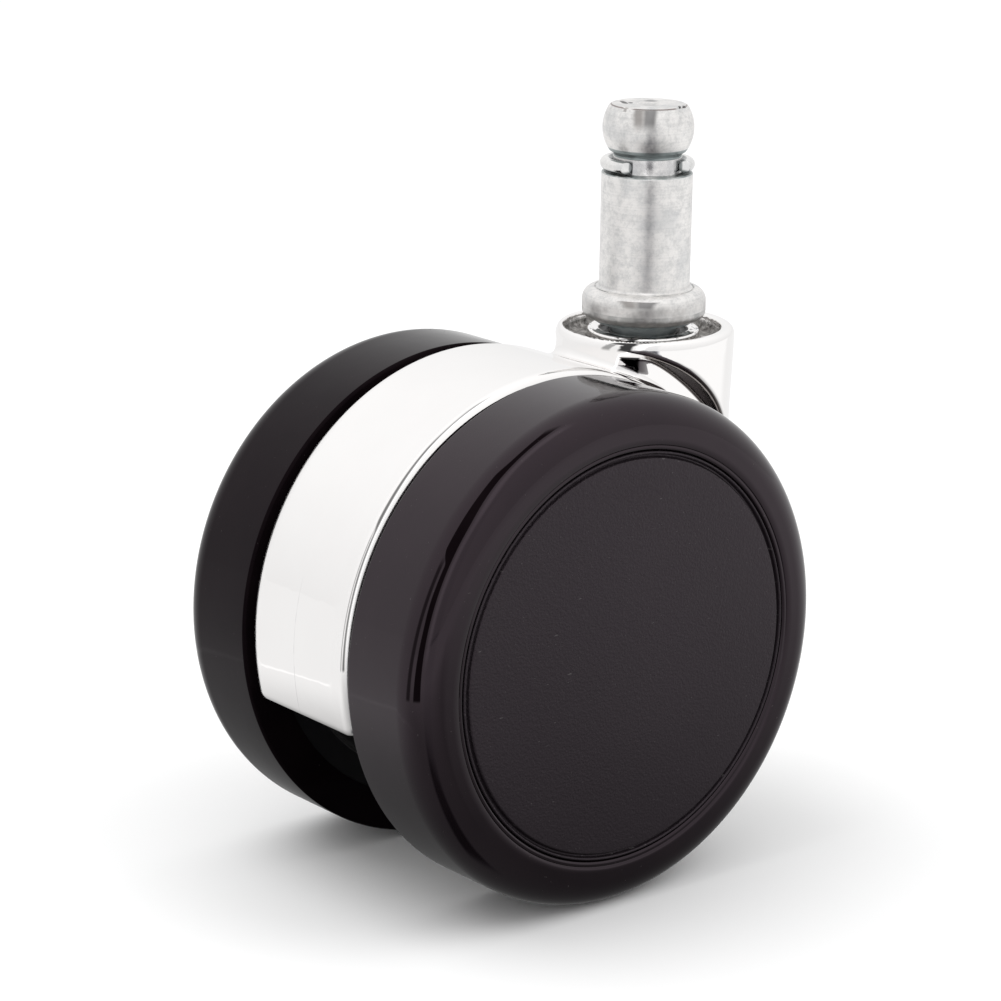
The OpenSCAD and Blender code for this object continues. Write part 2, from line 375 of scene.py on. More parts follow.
def cap_material():
    material, bsdf, place = new_material("cap_plastic")
    cells = add_node(material.node_tree, "ShaderNodeTexVoronoi",
                     {"Scale": 3.2, "Randomness": 1.0, "Vector": place}, "Distance")
    cloud = noise(place, scale=0.05, detail=3, rough=0.5)
    grain = noise(place, scale=4.2, detail=4, rough=0.65)
    swell = noise(place, scale=1.3, detail=2, rough=0.5)
    colour = mix(ramp(cloud, 0.3, 0.75), (0.0060, 0.0040, 0.0056), (0.0092, 0.0066, 0.0084))
    # tiny pale specks in the grain, and a few short scuffs
    specks = ramp(noise(place, scale=4.4, detail=1, rough=0.3), 0.745, 0.79)
    colour = stain(colour, specks, strength=0.40, to=(0.16, 0.15, 0.15))
    scuffs = ramp(noise(place, scale=1.0, detail=1, rough=0.2, stretch=(0.9, 0.9, 3.2),
                        offset=(3, 1, 7)), 0.785, 0.80)
    colour = stain(colour, scuffs, strength=0.30, to=(0.20, 0.19, 0.19))
    normal = bump(cells * 0.8 + grain, strength=0.55, distance=0.00006)
    feed_all(bsdf, {
        "Base Color": colour,
        "Roughness": ramp(grain, 0.3, 0.75, low=0.40, high=0.56),
        "IOR": 1.47,
        "Specular Tint": (1.0, 0.84, 0.95),
        "Normal": bump(swell, strength=0.25, distance=0.00008, over=normal),
    })
    return material


def arch_mask(x, y_abs, axle_r):
    """The face of each wheel arch."""
    off = abs((axle_r - ARCH_R) - (y_abs - FLAT_Y) * ARCH_SLOPE)
    return ((1.0 - step(off, 0.22, 0.32)) * step(y_abs, FLAT_Y - 0.25, FLAT_Y + 0.05)
            * (x > -9.5))


def nook_shade_mask(x, y, z):
    """The nook on the right where the arch runs out towards the hood, where painted shade goes.
    """
    behind = x * -1.0
    below = z * -1.0
    slant = behind + below * 0.85
    return (step(behind, 6.9, 7.2) * (1.0 - step(slant, 14.3, 14.55))
            * step(below, 6.45, 6.6) * (1.0 - step(below, 8.3, 8.7))
            * (1.0 - step(y, -5.6, -5.3)) * step(y, -7.9, -7.6))


def chrome_material():
    material, bsdf, place = new_material("chrome_plate")
    tree = material.node_tree
    x, y, z = split(place)
    cloud = noise(place, scale=0.12, detail=3, rough=0.5)
    grain = noise(place, scale=1.6, detail=4, rough=0.6)
    colour = mix(cloud, (0.915, 0.90, 0.893), (0.955, 0.942, 0.934))
    # the mould's parting line along the middle of the hood, low down
    line = clamp(1.0 - abs(y) * 9.0)
    broken = ramp(noise(place, scale=0.7, detail=2, rough=0.5), 0.35, 0.6, low=0.15)
    seam = line * (clamp((z + 27.0) * -0.25) * broken)
    colour = stain(colour, seam, strength=0.35, to=(0.45, 0.45, 0.46))
    # the plating is thin and the cast skin shows deep in the pocket
    swivel_r = (x * x + y * y) ** 0.5
    pocket = (swivel_r > 6.86) * (swivel_r < 9.78) * (z > -6.55)
    deep = pocket * clamp((-5.15 - z) / 0.5)
    grit = noise(place, scale=1.3, detail=5, rough=0.75)
    skin = mix(ramp(grit, 0.38, 0.66), (0.09, 0.083, 0.078), (0.66, 0.64, 0.62))
    colour = mix(deep, colour, skin)
    # dark blotches on the lip round the bore
    blotches = noise(place, scale=1.1, detail=4, rough=0.7, offset=(2, 5, 1))
    lip = (swivel_r < 6.80) * (z > -5.6) * ramp(blotches, 0.55, 0.60)
    colour = stain(colour, lip, strength=0.85, to=(0.10, 0.095, 0.09))
    # painted shade: the face of each wheel arch is painted dark, standing in for the black tyre
    # mirrored in it and the shade under the arch, and is made a little rougher
    axle_x = x + TRAIL
    axle_z = z + DROP
    axle_r = (axle_x * axle_x + axle_z * axle_z) ** 0.5
    y_abs = abs(y)
    arch = arch_mask(x, y_abs, axle_r)
    colour = stain(colour, arch, strength=0.92, to=(0.20, 0.175, 0.165))
    # painted reflection: a dark line, as of a mirrored slit, is painted along the hood's
    # rounded edges, and in the housing's top
    painted_line_edges = step(y_abs, 7.9, 8.5) * (x < -11.0) * (axle_r > 29.0)
    colour = stain(colour, 1.0 - painted_slit_gain(tree, softness=0.13, where=painted_line_edges),
                   strength=0.85, to=(0.03, 0.03, 0.03))
    painted_dark_band = (x > -11.0) * step(z, -6.0, -5.6)
    colour = mix(1.0 - painted_slit_gain(tree, softness=0.04, where=painted_dark_band), colour, (0.02, 0.02, 0.02))
    # painted shade: the nook is painted near black
    colour = stain(colour, nook_shade_mask(x, y, z), strength=0.98, to=(0.006, 0.005, 0.005))
    # the plating is a little duller along the hood's edges
    dull = clamp((abs(y) - 6.5) * 1.2) * clamp((z + 9.5) * -0.2) * (x < -12.0)
    roughness = (ramp(grain, 0.4, 0.8) * 0.025 + 0.025 + arch * 0.10 + seam * 0.12
                 + deep * 0.36 + dull * 0.20)
    waves = noise(place, scale=0.28, detail=2, rough=0.5)
    normal = bump(waves, strength=0.25, distance=0.00007)
    normal = bump(grit * deep, strength=0.8, distance=0.00022, over=normal)
    feed_all(bsdf, {
        "Metallic": 1.0,
        "Base Color": colour,
        "Roughness": roughness,
        "Normal": bump(seam, strength=-0.35, distance=0.00004, over=normal),
    })
    return material


def frosted_metal(name, light, dark, smooth, rough):
    """Bright metal with frosty patches. Returns its look as shader inputs, still unfed,
    so that marks can be laid over it."""
    material, bsdf, place = new_material(name)
    cloud = noise(place, scale=0.22, detail=3, rough=0.5)
    patches = noise(place, scale=0.75, detail=6, rough=0.68)
    grain = noise(place, scale=3.4, detail=4, rough=0.75)
    frost = patches * 0.65 + grain * 0.35
    colour = mix(ramp(frost, 0.40, 0.56), dark, light)
    colour = mix(ramp(grain, 0.56, 0.74, high=0.7), colour, (0.88, 0.875, 0.865))
    colour = stain(colour, ramp(cloud, 0.52, 0.66), strength=0.35, to=(0.50, 0.515, 0.53))
    look = {
        "Metallic": 1.0,
        "Base Color": colour,
        "Roughness": ramp(frost, 0.30, 0.65, low=smooth, high=rough),
        "Normal": bump(grain, strength=0.35, distance=0.00002),
    }
    return material, bsdf, place, look


# Gouges on the stem's top face: centre x, y; x and y of the long direction;
# tightness along and across it
GOUGES = (
    (-1.82, 2.58, 0.416, 0.909, 0.85, 8.0),
    (-2.11, 1.94, 0.416, 0.909, 2.0, 6.0),
    (-1.50, 1.62, 0.637, 0.770, 3.0, 10.0),
    (1.40, -3.86, 0.637, 0.770, 3.0, 30.0),
    (2.02, -4.00, 0.637, 0.770, 3.0, 16.0),
)
RUB_MARK = (1.57, 1.43, 0.637, 0.770, 0.9, 1.0)


def oval(x, y, centre_x, centre_y, long_x, long_y, along, across):
    """0 in the middle of an oval mark, 1 at its edge."""
    x = x + -centre_x
    y = y + -centre_y
    u = x * long_x + y * long_y
    v = x * long_y + y * -long_x
    return u * u * along + v * v * across


def mark_top(colour, x, y, z, radius):
    """Marks on the stem's top face."""
    burr = (z > STEM_TOP - 0.145) * (radius > 4.43)
    colour = stain(colour, burr, strength=0.75, to=(0.20, 0.15, 0.14))
    for gouge in GOUGES:
        mask = clamp((1.0 - oval(x, y, *gouge)) * 3.0) * (z > STEM_TOP - 0.16)
        colour = stain(colour, mask, strength=0.92, to=(0.035, 0.032, 0.032))
    # painted shade in the dimple at the middle of the top face
    dimple_shade = clamp(1.0 - radius * 0.62) * (z > STEM_TOP - 0.4)
    colour = stain(colour, dimple_shade, strength=0.4, to=(0.20, 0.20, 0.20))
    rubbed = clamp(1.0 - oval(x, y, *RUB_MARK)) * (z > STEM_TOP - 0.05)
    return stain(colour, rubbed, strength=0.8, to=(0.22, 0.22, 0.23))


def mark_stem(colour, place, x, y, z, rings):
    """Turning rings, stains, darker patches and painted shade down the stem."""
    colour = stain(colour, ramp(rings, 0.38, 0.52, low=1.0, high=0.0),
                   strength=0.15, to=(0.36, 0.37, 0.375))
    # darker greenish patches low on the collar and under it
    low_dark_patches = (z < -2.4) * (z > -4.6) * ramp(
        noise(place, scale=0.45, detail=4, rough=0.6), 0.42, 0.60, low=0.15)
    colour = stain(colour, low_dark_patches, strength=0.6, to=(0.17, 0.19, 0.19))
    # painted shade, bluish, low on the groove's neck under the head, and stains in the grip
    # ring's seat
    painted_dark_band = (1.0 - step(z, 16.98, 17.14)) * (z > 16.0)
    colour = stain(colour, painted_dark_band, strength=0.80, to=(0.20, 0.25, 0.255))
    seat = (z < 15.96) * (z > 14.2) * ramp(
        noise(place, scale=0.4, detail=3, rough=0.6), 0.40, 0.58)
    colour = stain(colour, seat, strength=0.35, to=(0.34, 0.33, 0.36))
    radius = (x * x + y * y) ** 0.5
    colour = mark_top(colour, x, y, z, radius)
    # the collar is darker in patches, most of all on its lower half
    patches = ramp(noise(place, scale=0.30, detail=3, rough=0.6, offset=(1, 3, 0)), 0.40, 0.60)
    collar = (1.0 - step(z, -1.8, -0.4)) * (z > -3.7) * mul_add(patches, 0.6, 0.4)
    colour = stain(colour, collar, strength=0.75, to=(0.33, 0.315, 0.305))
    # thin dark lines on the groove's flank and at the foot of the wall
    flank = (z < 14.13) * (z > 13.93) * ramp(
        noise(place, scale=0.9, detail=3, rough=0.6), 0.35, 0.6, low=0.4)
    colour = stain(colour, flank, strength=0.7, to=(0.13, 0.18, 0.18))
    wall_foot = (z < 0.02) * (z > -0.2) * (radius < 6.08) * (radius > 5.84) * ramp(
        noise(place, scale=0.5, detail=3, rough=0.6, offset=(4, 0, 0)), 0.42, 0.60)
    colour = stain(colour, wall_foot, strength=0.8, to=(0.15, 0.16, 0.16))
    # painted shade under the collar
    under_collar_shade = (z < -3.75) * (z > -5.4)
    return stain(colour, under_collar_shade, strength=0.7, to=(0.14, 0.19, 0.20))


def paint_camera_reflection(colour, z):
    """Painted reflection of the dark camera in the barrel of the head and in the collar."""
    [mirrored] = sources(tree_of(z), "ShaderNodeTexCoord", "Reflection")
    upward = step(dot(mirrored, UP), -0.25, 0.45) * ((z > 17.0) + (z < -0.5))
    beside = dot(mirrored, BESIDE_CAMERA) + sin_deg(6.0)
    facing = step(dot(mirrored, TO_CAMERA), 0.1, 0.3)
    band = 1.0 - step(abs(beside), sin_deg(8.0), sin_deg(21.0))
    colour = stain(colour, band * facing * upward, strength=0.9, to=(0.19, 0.186, 0.186))
    band = 1.0 - step(abs(beside - sin_deg(27.0)), sin_deg(4.0), sin_deg(19.0))
    return stain(colour, band * facing * upward, strength=0.8, to=(0.25, 0.23, 0.22))


def zinc_material():
    """Bright zinc on turned steel."""
    material, bsdf, place, look = frosted_metal(
        "zinc_steel", light=(0.89, 0.872, 0.855), dark=(0.66, 0.655, 0.648),
        smooth=0.26, rough=0.46)
    x, y, z = split(place)
    rings = noise(combine(0.0, 0.0, z), scale=3.2, detail=5, rough=0.75)
    colour = mark_stem(look["Base Color"], place, x, y, z, rings)
    in_seat = (z < 15.95) * (z > 14.2)
    look.update({
        "Base Color": paint_camera_reflection(colour, z),
        "Roughness": look["Roughness"] * (1.0 - in_seat * 0.35),
        "Normal": bump(rings, strength=0.30, distance=0.00003, over=look["Normal"]),
        "Tangent": add_node(material.node_tree, "ShaderNodeTangent", {},
                            direction_type="RADIAL", axis="Z"),
        "Anisotropic": 0.6,
        "Anisotropic Rotation": 0.25,
    })
    feed_all(bsdf, look)
    return material


def spring_material():
    """Bright wire, with painted shade on its inner side and underneath."""
    material, bsdf, place, look = frosted_metal(
        "spring_steel", light=(0.86, 0.85, 0.835), dark=(0.76, 0.755, 0.745),
        smooth=0.10, rough=0.18)
    x, y, z = split(place)
    radius = (x * x + y * y) ** 0.5
    # painted shade on the wire's inner side and underneath
    shaded_inner_side = step((GRIP_R - 0.15) - radius, 0.0, 0.25)
    below = step((GRIP_Z - 0.25) - z, 0.0, 0.35)
    look["Base Color"] = stain(look["Base Color"], math_node("MAXIMUM", shaded_inner_side, below),
                               strength=0.80, to=(0.10, 0.115, 0.12))
    feed_all(bsdf, look)
    return material


def bright_material():
    material, bsdf, _, look = frosted_metal(
        "bright_steel", light=(0.62, 0.63, 0.64), dark=(0.50, 0.51, 0.52),
        smooth=0.18, rough=0.30)
    feed_all(bsdf, look)
    return material


def plastic_material(name, dark, light, rough, specular=0.5):
    material, bsdf, place = new_material(name)
    cloud = noise(place, scale=0.25, detail=4, rough=0.6)
    grain = noise(place, scale=3.0, detail=3, rough=0.6)
    feed_all(bsdf, {
        "Base Color": mix(cloud, dark, light),
        "Roughness": ramp(grain, 0.3, 0.7, low=rough - 0.08, high=rough + 0.12),
        "Specular IOR Level": specular,
        "Normal": bump(grain, strength=0.25, distance=0.00003),
    })
    return material


def bronze_material():
    material, bsdf, place = new_material("bush_bronze")
    grain = noise(place, scale=2.5, detail=4, rough=0.7)
    feed_all(bsdf, {
        "Metallic": 0.9,
        "Base Color": mix(grain, (0.32, 0.20, 0.09), (0.62, 0.44, 0.22)),
        "Roughness": ramp(grain, 0.3, 0.7, low=0.35, high=0.6),
        "Normal": bump(grain, strength=0.4, distance=0.00003),
    })
    return material


MATERIALS = {
    "tyre_pu": tyre_material("tyre_pu", specular=0.45),
    "cap_plastic": cap_material(),
    "chrome_plate": chrome_material(),
}
# a shaded copy of the tyre material for the far, left tyre: its lower shine stands in for
# painted shade
LEFT_TYRE_SHADED = tyre_material("tyre_pu_shaded_copy", specular=0.12)
MATERIALS.update({
    "zinc_steel": zinc_material(),
    "spring_steel": spring_material(),
    "bright_steel": bright_material(),
    "bush_acetal": plastic_material("bush_acetal", dark=(0.010, 0.010, 0.011),
                                    light=(0.022, 0.022, 0.023), rough=0.35),
    "core_nylon": plastic_material("core_nylon", dark=(0.006, 0.006, 0.007),
                                   light=(0.013, 0.012, 0.013), rough=0.40, specular=0.12),
    "washer_nylon": plastic_material("washer_nylon", dark=(0.66, 0.65, 0.59),
                                     light=(0.78, 0.77, 0.72), rough=0.45),
    "bush_bronze": bronze_material(),
})

slots = {part["node"]: part["material_slot"] for part in frame["record"]["subparts"]}
for node_name, cad_piece in frame["nodes"].items():
    cad_piece.data.materials.clear()
    cad_piece.data.materials.append(MATERIALS[slots[node_name]])


# ------------------------------------------------------------------ mesh tools
def build(node, body, slot, verts, faces, material=None, sharp=None, normals=None,
          weighted=False):
    """Makes the detailed mesh that stands in for one CAD piece."""
    mesh = bpy.data.meshes.new(node + "_look")
    points = np.asarray(verts, float) * MM
    mesh.from_pydata(points.tolist(), [], [tuple(int(i) for i in face) for face in faces])
    mesh.validate()
    mesh.update()
    mesh.materials.append(material or MATERIALS[slot])
    mesh.polygons.foreach_set("use_smooth", [True] * len(mesh.polygons))
    if sharp:
        mesh.set_sharp_from_angle(angle=math.radians(sharp))
    piece = bpy.data.objects.new(node + "_look", mesh)
    bpy.context.scene.collection.objects.link(piece)
    if normals is not None:
        mesh.normals_split_custom_set_from_vertices(normals.tolist())
    if weighted:
        modifier = piece.modifiers.new("even_shading", "WEIGHTED_NORMAL")
        modifier.keep_sharp = True
        modifier.weight = 60
    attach(piece, body)
    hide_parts(node)


def arc(centre_r, centre_h, radius, start, end, count, height=None):
    """Points of an arc from start to end degrees; height makes it elliptical."""
    height = radius if height is None else height
    angles = [math.radians(start + (end - start) * i / count) for i in range(count + 1)]
    return [(centre_r + radius * math.cos(a), centre_h + height * math.sin(a))
            for a in angles]


def densify(profile, spacing):
    """Adds points along the long edges of a profile."""
    points = []
    for a, b in zip(profile, profile[1:]):
        points.append(a)
        extra = int(math.hypot(b[0] - a[0], b[1] - a[1]) // spacing)
        for j in range(1, extra + 1):
            t = j / (extra + 1)
            points.append((a[0] + (b[0] - a[0]) * t, a[1] + (b[1] - a[1]) * t))
    return points + [profile[-1]]


def face_outwards(verts, faces):
    """Turns every face of a closed mesh outwards by the sign of its volume."""
    v = np.asarray(verts, float)
    volume = 0.0
    for face in faces:
        for j in range(1, len(face) - 1):
            volume += np.dot(v[face[0]], np.cross(v[face[j]], v[face[j + 1]]))
    return faces if volume > 0 else [tuple(reversed(face)) for face in faces]


def lathe(profile, count, place):
    """Turns a closed (radius, height) profile. A point on the axis becomes one vertex.
    place maps radius, angle and height to XYZ."""
    verts, rows = [], []
    for radius, height in profile:
        if abs(radius) < 1e-9:
            rows.append([len(verts)] * count)
            verts.append(place(0.0, 0.0, height))
        else:
            rows.append(list(range(len(verts), len(verts) + count)))
            verts += [place(radius, 2 * math.pi * k / count, height) for k in range(count)]
    faces = []
    for a, b in zip(rows, rows[1:] + rows[:1]):
        for k in range(count):
            after = (k + 1) % count
            face = list(dict.fromkeys([a[k], a[after], b[after], b[k]]))
            if len(face) >= 3:
                faces.append(face)
    return verts, face_outwards(verts, faces)


def upright(radius, angle, height):
    return (radius * math.cos(angle), radius * math.sin(angle), height)


def on_axle(side):
    """Places a turned profile on the axle, heights running outwards to one side."""
    def place(radius, angle, height):
        return (-TRAIL + radius * math.cos(angle), side * height,
                -DROP + radius * math.sin(angle))
    return place


# ------------------------------------------------------------------ solid by distance field
def smooth_min(a, b, blend):
    t = np.clip(0.5 + 0.5 * (b - a) / blend, 0, 1)
    return b + (a - b) * t - blend * t * (1 - t)


def smooth_max(a, b, blend):
    return -smooth_min(-a, -b, blend)


def unit(t):
    return np.clip(t, 0, 1)


def ease(t):
    return t * t * (3 - 2 * t)


def surface_nets(field, low, high, cell):
    """Quad mesh of field = 0, one vertex for each cell the surface crosses."""
    axes = [np.arange(low[i], high[i] + cell, cell) for i in range(3)]
    grid = np.meshgrid(*axes, indexing="ij")
    values = field(np.stack([g.ravel() for g in grid], 1)).reshape(grid[0].shape)
    inside = values < 0
    cells = tuple(n - 1 for n in values.shape)
    total = np.zeros(cells + (3,))
    count = np.zeros(cells)
    corners = [(i, j, k) for i in (0, 1) for j in (0, 1) for k in (0, 1)]
    for a in corners:
        for b in corners:
            if sum(b) - sum(a) != 1 or any(b[i] < a[i] for i in range(3)):
                continue
            at_a = values[tuple(slice(a[i], a[i] + n) for i, n in enumerate(cells))]
            at_b = values[tuple(slice(b[i], b[i] + n) for i, n in enumerate(cells))]
            crossed = (at_a < 0) != (at_b < 0)
            t = np.where(crossed, at_a / np.where(crossed, at_a - at_b, 1), 0)
            for i in range(3):
                total[..., i] += np.where(crossed, a[i] + (b[i] - a[i]) * t, 0)
            count += crossed
    used = count > 0
    ids = -np.ones(used.shape, int)
    ids[used] = np.arange(used.sum())
    points = (np.argwhere(used) + total[used] / count[used][:, None]) * cell
    points = points + np.array([axis[0] for axis in axes])
    quads = []
    unit_steps = np.eye(3, dtype=int)
    for axis in range(3):
        u, v = [(1, 2), (2, 0), (0, 1)][axis]
        near = [slice(1, n - 1) for n in values.shape]
        near[axis] = slice(0, values.shape[axis] - 1)
        far = list(near)
        far[axis] = slice(1, values.shape[axis])
        near_in, far_in = inside[tuple(near)], inside[tuple(far)]
        offset = np.array([1, 1, 1])
        offset[axis] = 0
        for flip, crossed in ((False, near_in & ~far_in), (True, ~near_in & far_in)):
            at = np.argwhere(crossed) + offset
            ring = [at - unit_steps[u] - unit_steps[v], at - unit_steps[v],
                    at, at - unit_steps[u]]
            quad = np.stack([ids[tuple(c.T)] for c in ring], 1)
            quads.append(quad[:, ::-1] if flip else quad)
    quads = np.concatenate(quads)
    return points, quads[(quads >= 0).all(1)]


def gradient(field, points, reach=0.004):
    slope = np.zeros_like(points)
    for i in range(3):
        d = np.zeros(3)
        d[i] = reach
        slope[:, i] = (field(points + d) - field(points - d)) / (2 * reach)
    return slope


def settle(field, points, cell, rounds=5):
    """Moves points onto field = 0 along the slope, never far from their cell.
    Returns them with their normals."""
    start = points.copy()
    for _ in range(rounds):
        slope = gradient(field, points)
        steepness = np.maximum((slope * slope).sum(1), 0.05)
        points = points - slope * (field(points) / steepness)[:, None]
        moved = points - start
        length = np.linalg.norm(moved, axis=1)
        hold = np.minimum(1, 0.9 * cell / np.maximum(length, 1e-9))
        points = start + moved * hold[:, None]
    slope = gradient(field, points)
    return points, slope / np.maximum(np.linalg.norm(slope, axis=1), 1e-9)[:, None]


def polygon_distance(x, z, outline):
    """Signed distance to a polygon, negative inside."""
    square = np.full(x.shape, 1e9)
    sign = np.ones(x.shape)
    for i, a in enumerate(outline):
        b = outline[i - 1]
        edge_x, edge_z = b[0] - a[0], b[1] - a[1]
        to_x, to_z = x - a[0], z - a[1]
        t = unit((to_x * edge_x + to_z * edge_z) / (edge_x * edge_x + edge_z * edge_z))
        off_x, off_z = to_x - edge_x * t, to_z - edge_z * t
        square = np.minimum(square, off_x * off_x + off_z * off_z)
        above, below, beside = z >= a[1], z < b[1], edge_x * to_z > edge_z * to_x
        flip = (above & below & beside) | (~above & ~below & ~beside)
        sign = np.where(flip, -sign, sign)
    return sign * np.sqrt(square)


# ------------------------------------------------------------------ body casting
def hood_field(y, axle_x, axle_z, axle_r, hood_r):
    """Rounded disc, kept above its lower edge."""
    edge = np.where(y < 0, HOOD_EDGE_RIGHT, HOOD_EDGE_LEFT)
    out_r = hood_r - (HOOD_R - edge)
    out_y = np.abs(y) - (HOOD_HALF_W - edge)
    disc = (np.hypot(np.maximum(out_r, 0), np.maximum(out_y, 0))
            + np.minimum(np.maximum(out_r, out_y), 0) - edge)
    area = np.minimum(polygon_distance(axle_x, axle_z, HOOD_OUTLINE), axle_r - 9.0)
    return smooth_max(disc, area, 1.3)


def boss_field(x, y, z, axle_r):
    """Stem housing, drafted, with a rounded rim, a domed foot and an arch over each tyre."""
    y_abs = np.abs(y)
    boss_r = np.hypot(x - BOSS_X, y)
    draft = np.clip(-7.0 - z, 0, 8) * 0.0375 + np.clip(-15.0 - z, 0, 30) * 0.017
    wall_r = BOSS_R - draft
    # below the rim the housing flares towards its sides and rear
    toward = 0.8 * y_abs - 0.6 * (x - BOSS_X)
    sides = ease(unit(toward / np.maximum(boss_r, 1e-6) * 2.0 - 0.9))
    rear = ease(unit((-5.0 - x) / 3) * unit((y + 5.0) / 4))
    lead = 1 - (1 - sides) * (1 - rear)
    slope = 0.10 + 0.07 * unit((y + 4) / 4) + 0.07 * unit(y / 1.5)
    flare = (np.clip(-5.2 - z, 0, 2.5) * slope - 0.10) * lead
    boss = smooth_max(boss_r - wall_r - flare, z - RIM_TOP, 1.0)
    # arch over each tyre, with a flat side below it that runs out at the back
    inset = 1.65 * ease(unit((y_abs - 3.8) / 3.2)) - 1.2
    wall = smooth_max(boss_r - wall_r + inset, y_abs - FLAT_Y, 1.2)
    arch = (ARCH_R + np.clip(y_abs - FLAT_Y, 0, 4) * ARCH_SLOPE
            - np.clip(FLAT_Y - y_abs, 0, 4) * 0.45)
    boss = smooth_max(boss, -smooth_max((axle_r - arch) * 0.95, -wall, ARCH_BLEND), 0.65)
    return smooth_max(boss, BOSS_BOTTOM - z, 6.0)


def core_field(y, z, axle_x, axle_z, axle_r, hood_r, swivel_r):
    """Hollow inside the hood, open below, with the ribs left standing."""
    core = smooth_max(hood_r - (HOOD_R - HOOD_WALL), np.abs(y) - 7.8, 1.2)
    core = smooth_max(core, 10.4 - swivel_r, 1.0)
    core = smooth_max(core, 7.4 - axle_r, 1.0)
    for angle in RIB_ANGLES:
        c, s = math.cos(math.radians(angle)), math.sin(math.radians(angle))
        along = axle_x * c + axle_z * s
        across = np.abs(-axle_x * s + axle_z * c)
        core = smooth_max(core, -np.maximum(across - 0.8, -along), 0.8)
    return np.maximum(core, z + 6.9)


def casting_field(points):
    x, y, z = points.T
    axle_x, axle_z = x + TRAIL, z + DROP
    axle_r = np.hypot(axle_x, axle_z)
    hood_r = np.hypot(axle_x, axle_z - HOOD_RISE)
    swivel_r = np.hypot(x, y)
    solid = smooth_min(hood_field(y, axle_x, axle_z, axle_r, hood_r),
                       boss_field(x, y, z, axle_r), 1.25)
    # near the wheels nothing stands out past the hood's sides
    sides = np.where(axle_r < 33.0, np.abs(y) - HOOD_HALF_W, -5.0)
    solid = smooth_max(solid, sides, 0.05)
    core = core_field(y, z, axle_x, axle_z, axle_r, hood_r, swivel_r)
    solid = smooth_max(solid, -core, 0.35)
    # pocket between rim and inner lip
    pocket = smooth_max(np.hypot(x - POCKET_X, y) - POCKET_R, -6.4 - z, 1.0)
    solid = smooth_max(solid, -pocket, 0.30)
    lip = smooth_max(swivel_r - LIP_R, z - LIP_TOP, 0.45)
    solid = smooth_min(solid, np.maximum(lip, -8.0 - z), 0.5)
    # stepped stem bore, then the axle bore
    upper_bore = np.maximum(swivel_r - 5.42, -24.2 - z)
    lower_bore = np.maximum(swivel_r - 4.15, -29.2 - z)
    solid = smooth_max(solid, -upper_bore, 0.2)
    solid = smooth_max(solid, -lower_bore, 0.1)
    return smooth_max(solid, -(axle_r - 4.02), 0.2)


def body_casting():
    cell = 0.29
    low = (-TRAIL - HOOD_R - 1.2, -11.6 - 0.013, -DROP - 9.8)
    high = (11.6, 11.6, -4.0)
    verts, quads = surface_nets(casting_field, low, high, cell)
    verts, normals = settle(casting_field, verts, cell)
    build("body_casting", "housing", "chrome_plate", verts, quads, normals=normals)


# ------------------------------------------------------------------ stem and grip ring
# Nicks on the rim of the stem's head: angle, width in radians, depth
NICKS = [(math.radians(-165), 0.34, 0.22), (math.radians(-77), 0.30, 0.24),
         (math.radians(40), 0.3, 0.1)]


def nicked(radius, angle, height):
    """Places a point of the stem, with the nicks cut into the head's rim."""
    cut = 0.0
    if height > STEM_TOP - 0.5 and radius > 3.9:
        for nick_angle, width, depth in NICKS:
            off = (angle - nick_angle + math.pi) % (2 * math.pi) - math.pi
            cut += depth * math.exp(-(off / (width * 0.35)) ** 2)
    return upright(radius - cut, angle, height)


def stem():
    top = STEM_TOP
    profile = [
        # dimpled top face and its burr
        (0, top - 0.34), (0.8, top - 0.32), (1.2, top - 0.22), (1.6, top - 0.06),
        (1.95, top), (4.36, top), (4.44, top - 0.02), (4.50, top - 0.12),
        (4.56, top - 0.13), (4.60, top - 0.15),
        # rounded head
        *arc(STEM_R - 4.8, top - 2.8, 4.8, 33.5, -35.5, 44),
        # neck and the grip ring's groove
        (4.44, 16.52), (4.26, 16.42), (4.12, 16.28), (4.07, 16.12), (4.09, 16.02),
        (4.16, 15.97), (4.17, 15.90), (4.17, 14.35), (4.22, 14.2), (4.36, 14.1), (5.18, 14.1),
        # shoulder and wall, down to a fillet and a fine groove on the collar
        *arc(5.24, 13.84, 0.26, 90, 0, 7),
        (STEM_R, 0.30), *arc(STEM_R + 0.28, 0.29, 0.28, 180, 262, 7),
        (5.86, -0.02), (5.92, -0.10), (6.0, -0.10), (6.07, -0.02),
        # collar
        *arc(COLLAR_R - 1.5, -1.5, 1.5, 86, 0, 14), (COLLAR_R, -2.6),
        *arc(COLLAR_R - 1.0, -2.7, 1.0, 0, -90, 10),
        # shank with a groove near its foot
        (6.15, -3.7), (6.0, -3.8), (5.9, -4.15), (4.4, -4.15), (SHANK_R, -4.3),
        (SHANK_R, -22.2), (2.9, -22.2), (2.9, -23.7), (SHANK_R, -23.7),
        (SHANK_R, -27.2), (3.25, -28.0), (0, -28.0),
    ]
    verts, faces = lathe(densify(profile, 0.9), 320, nicked)
    build("stem", "stem", "zinc_steel", verts, faces, sharp=35, weighted=True)


# Rounding of a cut wire end: share of the wire's radius, distance past the cut
END_ROUNDING = ((0.985, 0.030), (0.95, 0.055), (0.90, 0.070), (0.84, 0.075), (0.4, 0.075))


